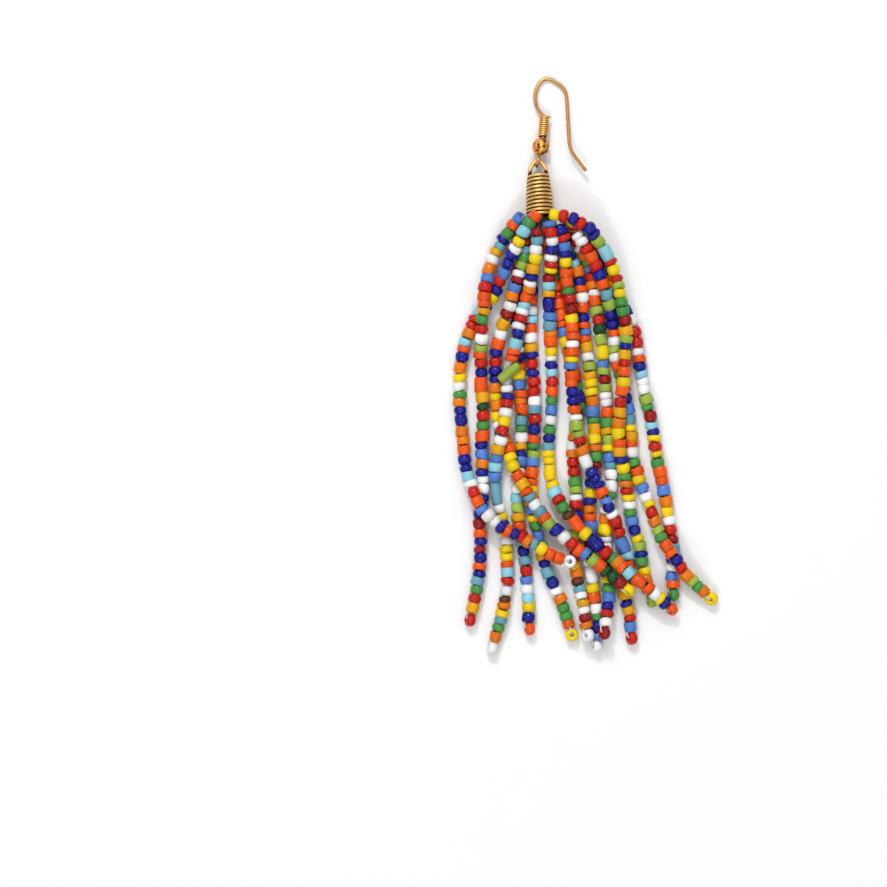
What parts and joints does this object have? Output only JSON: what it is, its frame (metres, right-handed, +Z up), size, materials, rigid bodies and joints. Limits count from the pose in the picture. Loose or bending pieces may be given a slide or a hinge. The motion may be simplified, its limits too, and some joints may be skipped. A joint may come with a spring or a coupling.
{
  "type": "beaded fringe earring",
  "caption": "Drop earring lying flat: fish-hook ear wire with coil and ball, a close-wound wire cone and a long fringe of seed bead strings.",
  "frame": {"origin": "middle of the whole outline, on the surface that the earring lies on", "axes": "+Y from the tips of the fringe to the hook, +X to the side that the hook's tail kicks to, +Z up"},
  "size_m": [0.0504, 0.11, 0.0075],
  "materials": {
    "gold_wire": "polished",
    "gold_ball": "worn, finely pitted",
    "bronze_wire": "antique, dark grooves",
    "thread": "waxed nylon",
    "seed_beads": "opaque glossy glass in mixed colours"
  },
  "bodies": {
    "root": {"ear_hook": "gold_wire", "hook_ball": "gold_ball", "hook_coil": "gold_wire", "wire_cone": "bronze_wire", "thread_core": "thread", "bead_strand_01": "seed_beads", "bead_strand_02": "seed_beads", "bead_strand_03": "seed_beads", "bead_strand_04": "seed_beads", "bead_strand_05": "seed_beads", "bead_strand_06": "seed_beads", "bead_strand_07": "seed_beads", "bead_strand_08": "seed_beads", "bead_strand_09": "seed_beads", "bead_strand_10": "seed_beads", "bead_strand_11": "seed_beads", "bead_strand_12": "seed_beads", "bead_strand_13": "seed_beads", "bead_strand_14": "seed_beads"}
  },
  "joints": []
}
